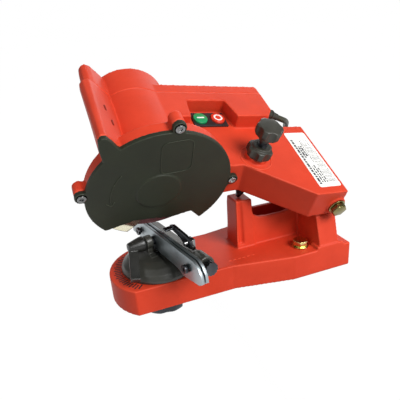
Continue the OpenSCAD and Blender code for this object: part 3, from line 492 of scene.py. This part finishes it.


# Degree scale: short black strokes of painted shade round the left half of the table, every second one set
# further out
table_top = Matrix.Translation((-0.135, 0, 0.025))
panel_black = moulded("panel_black", (0.012, 0.012, 0.013), (0.022, 0.022, 0.024), 0.5, fine=1300, broad=80)
marks = []
for i in range(-18, 12):
    out = 0.0405 if i % 2 == 0 else 0.0395
    round_table = Matrix.Rotation(radians(180 + i * 4.5), 4, "Z")
    marks.append(table_top @ round_table @ Matrix.Translation((out, 0, 0.00005)))
finish(bars("degree_scale", marks, (0.0065, 0.0011, 0.0004), 0.0001), panel_black, "stand")
first_dash, dash_pitch = -0.073, 0.0048
dash_turn = Matrix.Rotation(radians(4), 4, "Z")
dashes = [Matrix.Translation((first_dash + i * dash_pitch, -0.0262, 0.0250)) @ dash_turn for i in range(6)]
finish(bars("cast_dashes", dashes, (0.0032, 0.0008, 0.0006), 0.0002), cast_red, "stand")

# Bench bolts: two M8 hex bolts in yellow zinc with plain washers, one on each side of the pivot
# post.
zinc = metal("yellow_zinc", (0.50, 0.38, 0.09), (0.80, 0.70, 0.32), 0.20, fine=900, depth=0.00002)
fitted("bench_bolts", "bench_hex_bolts", 0.0006, 3, zinc, "stand")
fitted("bench_washers", "bench_plain_washers", 0.0003, 2, zinc, "stand")

# ---- Arm and motor housing ----
# One casting carries the wheel guard's rear half, the motor barrel with its carrying fin, and the
# arm; a rear cover closes the motor and the switch box with two screws.
arm_slope = radians(9.5)
# Height of the arm's top face above the middle of the guard, taken at the guard
arm_top = 0.0205


def on_arm(x, s):
    """Frame that stands square on the arm's top face, x along the arm and s across it."""
    return head @ Matrix.Translation((x, s, arm_top - x * tan(arm_slope))) @ Matrix.Rotation(arm_slope, 4, "Y")


cast("arm_housing", "arm_casting", 0.0009, 3, 150000, cast_red, "arm")
cast("rear_cover", "rear_housing", 0.0009, 3, 90000, cast_red, "arm")

# A fine cast ridge runs round the boss of the depth stop, and the carrying fin has two small slots, drawn as
# darker red bars of painted shade.
stop_place = on_arm(0.0915, 0.012)
bpy.ops.object.select_all(action="DESELECT")
bpy.ops.mesh.primitive_torus_add(major_radius=0.0148, minor_radius=0.0006, major_segments=64,
                                 minor_segments=10)
bpy.ops.object.shade_smooth()
finish(settle(bpy.context.object, "boss_ridge", stop_place), cast_red, "arm")
painted_slot_shade = moulded("painted_slot_shade", (0.20, 0.012, 0.004), (0.28, 0.018, 0.006), 0.5, fine=1000, broad=60)
pip_places = [Matrix.Translation(Vector(p) / 1000) @ tilted
              for p in [(-163.7, -9.5, 178.9), (-161.6, -23.8, 169.2)]]
finish(bars("fin_pips", pip_places, (0.0016, 0.0062, 0.0022), 0.0007), painted_slot_shade, "arm")

# Screws, pivot bolt, nut and washers: hexagon and socket heads in zinc, the pivot's in olive zinc.
steel = metal("bright_steel", (0.40, 0.40, 0.41), (0.54, 0.54, 0.55), 0.3, fine=1200)
screw_dark = metal("screw_dark", (0.14, 0.14, 0.14), (0.42, 0.42, 0.42), 0.20, fine=1200)
olive_zinc = metal("olive_zinc", (0.16, 0.14, 0.055), (0.34, 0.29, 0.13), 0.26, fine=900, depth=0.00002)
for node, name, mat in (("housing_screws", "cover_screws", screw_dark),
                        ("guard_screws", "guard_fixings", screw_dark),
                        ("shield_screw", "shield_fixing", screw_dark),
                        ("pivot_washers", "pivot_plain_washers", olive_zinc)):
    fitted(node, name, 0.0003, 2, mat, "arm")
for node, name in (("pivot_bolt", "pivot_hex_bolt"), ("pivot_nut", "pivot_lock_nut")):
    fitted(node, name, 0.0008, 3, olive_zinc, "arm")

# ---- Guard cover ----
# A dark painted cover over the wheel, held by three screws. A hub, an empty frame and an arrow for
# the way the wheel turns stand a little proud of its face.
guard_paint = moulded("guard_paint", (0.013, 0.016, 0.008), (0.021, 0.025, 0.013), 0.55, fine=1500, broad=35,
                      depth=0.00008, edge=(0.055, 0.062, 0.040), Specular_IOR_Level=0.3)
cast("guard_cover", "wheel_guard_cover", 0.0007, 2, 90000, guard_paint, "arm")
cover_face = -0.0001
frame_mid, frame_w, frame_h, corner = Vector((0.0115, 0.0365)), 0.0255, 0.033, 0.006
outline = []
for cx, cz, start in ((1, 1, 0), (-1, 1, 90), (-1, -1, 180), (1, -1, 270)):
    for a in range(0, 91, 15):
        x = frame_mid.x + cx * (frame_w / 2 - corner) + corner * cos(radians(start + a))
        z = frame_mid.y + cz * (frame_h / 2 - corner) + corner * sin(radians(start + a))
        outline.append(Vector((x, cover_face, z)))
rim = lead_tube("rim", [head @ p for p in outline + outline[:1]], 0.0004)
finish(settle(rim, "guard_frame"), guard_paint, "arm")
arrow_r = 0.042
arrow = [Vector((arrow_r * cos(radians(a)), cover_face, arrow_r * sin(radians(a))))
         for a in range(140, 192, 6)]
shaft = lead_tube("shaft", [head @ p for p in arrow], 0.0005)
finish(settle(shaft, "turning_arrow"), guard_paint, "arm")
arrow_tip = Matrix.Translation((arrow[-1].x, 0, arrow[-1].z - 0.001))
tip_place = head @ arrow_tip @ Matrix.Rotation(radians(-8), 4, "Y")
barbs = [tip_place @ Matrix.Rotation(radians(a), 4, "Y") @ Matrix.Translation((0.0028, cover_face, 0))
         for a in (-52, -128)]
finish(bars("arrow_point", barbs, (0.0056, 0.0007, 0.0008)), guard_paint, "arm")

# Spark shield: a clear yellowish plastic sheet, scuffed by use, which one screw holds in the gap
# under the cover.
clear = bpy.data.materials.new("shield_clear")
clear.use_nodes = True
c_nodes, c_link = clear.node_tree.nodes, clear.node_tree.links.new
pane = c_nodes["Principled BSDF"]
pane.inputs["Transmission Weight"].default_value = 1.0
pane.inputs["IOR"].default_value = 1.49
pane.inputs["Metallic"].default_value = 0.0
haze = c_nodes.new("ShaderNodeGroup")
haze.node_tree = fine_grain
haze.inputs["Fine"].default_value = 700
haze.inputs["Broad"].default_value = 80
haze_tone = c_nodes.new("ShaderNodeValToRGB")
haze_tone.color_ramp.elements[0].color = (0.86, 0.80, 0.58, 1)
haze_tone.color_ramp.elements[1].color = (0.94, 0.90, 0.72, 1)
haze_rough = c_nodes.new("ShaderNodeMapRange")
haze_rough.inputs["To Min"].default_value = 0.10
haze_rough.inputs["To Max"].default_value = 0.32
c_link(haze.outputs["Cloud"], haze_tone.inputs["Fac"])
c_link(haze_tone.outputs["Color"], pane.inputs["Base Color"])
c_link(haze.outputs["Cloud"], haze_rough.inputs["Value"])
c_link(haze_rough.outputs["Result"], pane.inputs["Roughness"])
fitted("spark_shield", "clear_spark_shield", 0.0003, 2, clear, "arm")

# ---- Switch ----
# A black plate with two push buttons in the recess of the box: green with a white bar, red with a
# white ring, each printed on the button's top.


def dress(node, mat):
    """Give a solid that is kept as it is a better material."""
    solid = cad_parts[node]
    if not solid.material_slots:
        solid.data.materials.append(mat)
    for place in solid.material_slots:
        place.material = mat


fitted("switch_panel", "switch_plate", 0.0004, 2, panel_black, "arm")
dress("switch_body", panel_black)
green = moulded("button_green", (0.0, 0.26, 0.085), (0.008, 0.34, 0.12), 0.28, fine=900, broad=120,
                depth=0.00001, coat=0.3)
red = moulded("button_red", (0.60, 0.030, 0.010), (0.70, 0.045, 0.018), 0.28, fine=900, broad=120,
              depth=0.00001, coat=0.3)
print_white = moulded("print_white", (0.84, 0.84, 0.81), (0.90, 0.90, 0.87), 0.45, fine=900, broad=120,
                      depth=0.000005)
fitted("start_button", "green_button", 0.0007, 3, green, "start")
fitted("stop_button", "red_button", 0.0007, 3, red, "stop")
button_top = Matrix.Translation((0, 0, 0.0036))
start_place = on_arm(0.056, 0.065) @ button_top
stop_button_place = on_arm(0.074, 0.065) @ button_top
start_bar = bars("start_mark", [start_place], (0.0072, 0.0017, 0.0002), 0.00005)
finish(start_bar, print_white, "start")
bpy.ops.object.select_all(action="DESELECT")
bpy.ops.mesh.primitive_torus_add(major_radius=0.0036, minor_radius=0.00085, major_segments=40,
                                 minor_segments=8)
mark_ring = bpy.context.object
mark_ring.scale = (1, 1, 0.12)
bpy.ops.object.shade_smooth()
finish(settle(mark_ring, "stop_mark", stop_button_place), print_white, "stop")

# ---- Rating label ----
# A white foil label with rounded corners, glued to the arm, with rows of plain dark dashes of
# uneven length.
dress("rating_label", print_white)
ink = moulded("print_grey", (0.04, 0.04, 0.045), (0.11, 0.11, 0.12), 0.5, fine=900, broad=300, depth=0.000002)
label_place = on_arm(0.150, 0.007)
# Each row's place across the label, its start and length along it, and its width, in millimetres
rows = [(-8.8, -33, 60, 2.4), (-5.6, -31, 20, 1.4), (-5.6, 1, 16, 2.0), (-2.9, -31, 22, 1.3),
        (-2.9, 3, 14, 2.0), (-0.4, -31, 18, 1.2), (-0.4, -5, 30, 0.7)]
rows += [(1.6 * (i + 1), -31, length, 0.35) for i, length in enumerate((56, 50, 58, 46, 56, 40))]
shortest, longer_by, gap = 1.0, 0.9, 1.0
strokes = []
for x, start, length, wide in rows:
    at, k = start, 0
    while at < start + length:
        run = min(shortest + longer_by * ((k * k * 7 + k + int(abs(x) * 3)) % 5), start + length - at)
        strokes.append(label_place @ Matrix.Translation((x / 1000, (at + run / 2) / 1000, 0.00033))
                       @ Matrix.Diagonal((wide, run, 1, 1)))
        at += run + gap
        k += 1
finish(bars("label_print", strokes, (0.001, 0.001, 0.00012), 0.00001), ink, "arm")

# ---- Depth stop ----
# A dark threaded rod through the arm with a moulded six-lobed knob on its end, locked by a second
# lobed knob on the same thread.
knob_black = moulded("knob_black", (0.022, 0.022, 0.016), (0.046, 0.044, 0.033), 0.42, fine=1500, broad=70,
                     depth=0.00003, edge=(0.080, 0.076, 0.056))


def carved(piece, cutter):
    """Take the cutter's shape out of a piece."""
    cut = piece.modifiers.new("cut", "BOOLEAN")
    cut.object = cutter
    cut.operation = "DIFFERENCE"
    pick(piece)
    bpy.ops.object.modifier_apply(modifier="cut")
    bpy.data.objects.remove(cutter)
    return piece


def lobed(name, profile, cut, cut_at, place, voxel, bore=0.0, twist=0.0):
    """A turned knob with six scallops cut into its rim, perhaps a bore, and every edge eased."""
    piece = turned(name, profile, 72)
    height = max(z for r, z in profile) / 1000
    angles = [radians(60 * i) + twist for i in range(6)]
    holes = [(cut_at * cos(angle), cut_at * sin(angle), cut) for angle in angles]
    if bore:
        holes.append((0, 0, bore))
    cutters = []
    for x, y, r in holes:
        bpy.ops.object.select_all(action="DESELECT")
        bpy.ops.mesh.primitive_cylinder_add(vertices=48, radius=r, depth=4 * height,
                                            location=(x, y, height / 2))
        cutters.append(bpy.context.object)
    carved(piece, joined(cutters, "cutter"))
    return settle(eased(piece, voxel, 3, 60000), name, place)


lobe_cut, lobe_cut_at, rod_bore = 0.0070, 0.0169, 0.0043
top_profile = [(0, 0), (5.2, 0), (5.2, 3.6), (8.4, 4.4), (10.8, 6.0), (11.8, 7.8), (12, 9.2), (12, 13.2),
               (11.5, 14.9), (9.8, 15.6), (6, 15.9), (0, 16)]
top_knob = lobed("depth_hand_knob", top_profile, lobe_cut, lobe_cut_at,
                 stop_place @ Matrix.Translation((0, 0, 0.021)), 0.0004, twist=radians(12))
finish(top_knob, knob_black, "depth_turn", ("depth_knob",))
low_profile = [(0, 0), (10.2, 0), (11.5, 1.0), (12, 2.4), (12, 7.0), (11.4, 8.4), (9.8, 9.0), (8.5, 9.1),
               (8.2, 10.7), (7.6, 11.0), (0, 11.0)]
low_knob = lobed("depth_lock_ring", low_profile, lobe_cut, lobe_cut_at,
                 stop_place @ Matrix.Translation((0, 0, 0.0043)), 0.0004, bore=rod_bore, twist=radians(38))
finish(low_knob, knob_black, "depth_lock", ("depth_lock_knob",))
dark_steel = metal("dark_steel", (0.055, 0.058, 0.065), (0.11, 0.112, 0.12), 0.34, fine=1100)
# The rod's thread is drawn as rings at its pitch, from above the turned tip to the top
root_r, crest_r, pitch = 3.4, 3.95, 1.25
rod_profile = [(0.0, -51.6), (1.2, -51.4), (2.4, -50.5), (3.0, -48.6), (3.0, -46.0)]
z = -45.5
while z < 25.5:
    rod_profile += [(root_r, z), (crest_r, z + 0.35), (crest_r, z + 0.5), (root_r, z + 0.85)]
    z += pitch
rod_profile += [(root_r, 26.2), (0.0, 26.2)]
rod = settle(turned("rod", rod_profile, 28), "depth_threaded_rod", stop_place)
finish(rod, dark_steel, "depth", ("depth_screw",))

# ---- Wheel and spindle ----
# A pink-brown resin wheel with a chamfered rim, held by a nut between two steel flanges on a
# ground steel spindle, which turns in two bearings.
grit = moulded("wheel_grit", (0.17, 0.055, 0.060), (0.30, 0.115, 0.12), 0.85, fine=2600, broad=500,
               depth=0.0003)
fitted("grinding_wheel", "abrasive_wheel", 0.0009, 2, grit, "rotor")
ground_steel = metal("ground_steel", (0.40, 0.40, 0.42), (0.52, 0.52, 0.54), 0.26, streak=(6, 0.4, 6),
                     fine=700)
for node in ("spindle", "inner_flange", "outer_flange", "front_bearing", "rear_bearing"):
    dress(node, ground_steel)
fitted("arbor_nut", "spindle_nut", 0.0005, 3, dark_steel, "rotor")

# ---- Motor ----
# Laminated cores, enamelled copper windings, a copper commutator and carbon brushes in brass
# holders, a plastic fan; the nylon bushes of the arm's pivot get their finish here too.
laminated = metal("laminations", (0.16, 0.165, 0.18), (0.26, 0.265, 0.28), 0.45, streak=(0.2, 9, 5), fine=260,
                  depth=0.00012)
copper = metal("enamelled_copper", (0.42, 0.13, 0.035), (0.58, 0.21, 0.06), 0.3, streak=(1, 5, 5), fine=420,
               depth=0.0002)
brass = metal("holder_brass", (0.60, 0.42, 0.13), (0.70, 0.52, 0.20), 0.3, fine=900)
carbon = moulded("carbon", (0.014, 0.014, 0.014), (0.03, 0.03, 0.03), 0.6, fine=2000, broad=300)
fan_grey = moulded("fan_plastic", (0.03, 0.032, 0.035), (0.05, 0.052, 0.056), 0.5, fine=1200, broad=90)
nylon = moulded("nylon", (0.62, 0.60, 0.52), (0.70, 0.68, 0.60), 0.45, fine=1000, broad=90)
for node, mat in (("stator_core", laminated), ("rotor_core", laminated), ("field_windings", copper),
                  ("armature_windings", copper), ("commutator", copper), ("carbon_brushes", carbon),
                  ("brush_holders", brass), ("cooling_fan", fan_grey), ("pivot_bushes", nylon)):
    dress(node, mat)

# ---- Vise ----
# A dark painted turntable casting with a fixed jaw and two ground steel rails between which the
# work is held, and a screw with a side lever that closes the near rail.
# The vise's x runs across the rails and its y away from the operator.
vise = table_top @ Matrix.Rotation(radians(12), 4, "Z")
vise_paint = moulded("vise_paint", (0.030, 0.030, 0.024), (0.046, 0.046, 0.038), 0.38, fine=1200, broad=45,
                     depth=0.00005, coat=0.1, edge=(0.12, 0.12, 0.10))


def on_screw(x):
    """Frame on the axis of the clamp screw, with its z along the screw towards the rails."""
    return vise @ Matrix.Translation((x, 0, 0.027)) @ Matrix.Rotation(pi / 2, 4, "Y")


def block(low, high, place):
    """A plain block between two corners, in millimetres, before it is joined and eased."""
    bpy.ops.object.select_all(action="DESELECT")
    bpy.ops.mesh.primitive_cube_add(size=1, location=[(a + b) / 2000 for a, b in zip(low, high)])
    bpy.context.object.scale = [(b - a) / 1000 for a, b in zip(low, high)]
    return settle(bpy.context.object, "block", place)


# The casting's square lug is cut away and stands again as a round hub on a neck
table_casting = carved(merged("vise_body", "vise_casting"), block((-13, -20, 16.5), (-5.2, 20, 40), vise))
hub_bore, hub_r, hub_long = 4.06, 6.4, 6.2
hub_profile = [(hub_bore, 0), (hub_r, 0), (hub_r, hub_long), (hub_bore, hub_long), (hub_bore, 0)]
hub = settle(turned("hub", hub_profile, 48), "hub", on_screw(-0.0121))
neck = block((-11.6, -4.5, 12), (-6.4, 4.5, 21.4), vise)
vise_casting = eased(joined([table_casting, hub, neck], "vise_casting"), 0.0006, 3, 100000)
finish(vise_casting, vise_paint, "vise", ("vise_body",))
rail_steel = metal("rail_steel", (0.30, 0.34, 0.36), (0.42, 0.47, 0.49), 0.40, streak=(3, 0.25, 3), fine=420,
                   depth=0.00003)
fitted("fixed_rail", "far_rail", 0.0005, 3, rail_steel, "vise")
fitted("moving_rail", "near_rail", 0.0005, 3, rail_steel, "jaw")
fitted("rail_screws", "rail_guide_screws", 0.0010, 4, dark_steel, "vise")
fitted("clamp_screw", "clamp_spindle", 0.0004, 2, dark_steel, "jaw")

# Clamp lever: a black moulded barrel on the screw, tapered to a screwed end, with a flat bar and
# a bent foot to push with.
lever_black = moulded("lever_black", (0.008, 0.008, 0.007), (0.018, 0.018, 0.015), 0.36, fine=1500, broad=70,
                      depth=0.00003, edge=(0.032, 0.032, 0.027))
barrel_profile = [(0, 0), (3.9, 0), (4.6, 0.5), (5.3, 3.5), (6.3, 8), (7.1, 12.2), (7.2, 14.6), (6.6, 15.3),
                  (6.2, 16.2), (0, 16.2)]
barrel = settle(turned("barrel", barrel_profile, 64), "barrel", on_screw(-0.0286))
bar_place = (vise @ Matrix.Translation((-0.020, 0, 0.027)) @ Matrix.Rotation(radians(-55), 4, "X")
             @ Matrix.Rotation(radians(20), 4, "Y"))
bar = block((-8.0, -1.7, -34.5), (0.4, 1.7, -2), bar_place)
foot = block((-8.0, -4.6, -35.9), (0.4, 1.7, -33.4), bar_place)
handle = eased(joined([barrel, bar, foot], "clamp_handle"), 0.0004, 3, 60000)
finish(handle, lever_black, "clamp", ("clamp_lever",))
end_screw = turned("end_screw", [(0, 0), (1.2, 0), (2.3, 0.5), (2.5, 1.2), (2.5, 2.4), (0, 2.4)], 32)
finish(settle(end_screw, "lever_end_screw", on_screw(-0.0290)), dark_steel, "clamp")

# Stop pawl: a dark steel finger on a bright bracket, which flips up out of the way, and the
# screw that sets it. The stud below the casting is bright steel.
fitted("chain_stop", "stop_pawl", 0.0004, 2, dark_steel, "pawl")
fitted("stop_pin", "pawl_bracket", 0.0004, 2, screw_dark, "vise")
fitted("stop_adjuster", "adjuster_screw", 0.0004, 2, dark_steel, "adjuster")
dress("vise_stud", steel)

# Lock knob: a large moulded six-lobed knob under the table, on the stud of the turntable, which
# clamps the vise at its angle.
knob_blue = moulded("knob_blue_black", (0.010, 0.014, 0.022), (0.018, 0.024, 0.036), 0.33, fine=1300, broad=60,
                    depth=0.00003, edge=(0.05, 0.06, 0.08))
under_profile = [(0, 0), (19, 0), (22, 0.8), (23.6, 2.6), (24, 5.0), (24, 9.6), (22.8, 12.0), (20, 13.0),
                 (11.5, 13.1), (11.5, 17.0), (0, 17.0)]
under_knob = lobed("table_lock_knob", under_profile, 0.0130, 0.0330,
                   vise @ Matrix.Translation((0, 0, -0.0423)), 0.0006, bore=rod_bore, twist=radians(10))
finish(under_knob, knob_blue, "vise_lock", ("vise_lock_knob",))
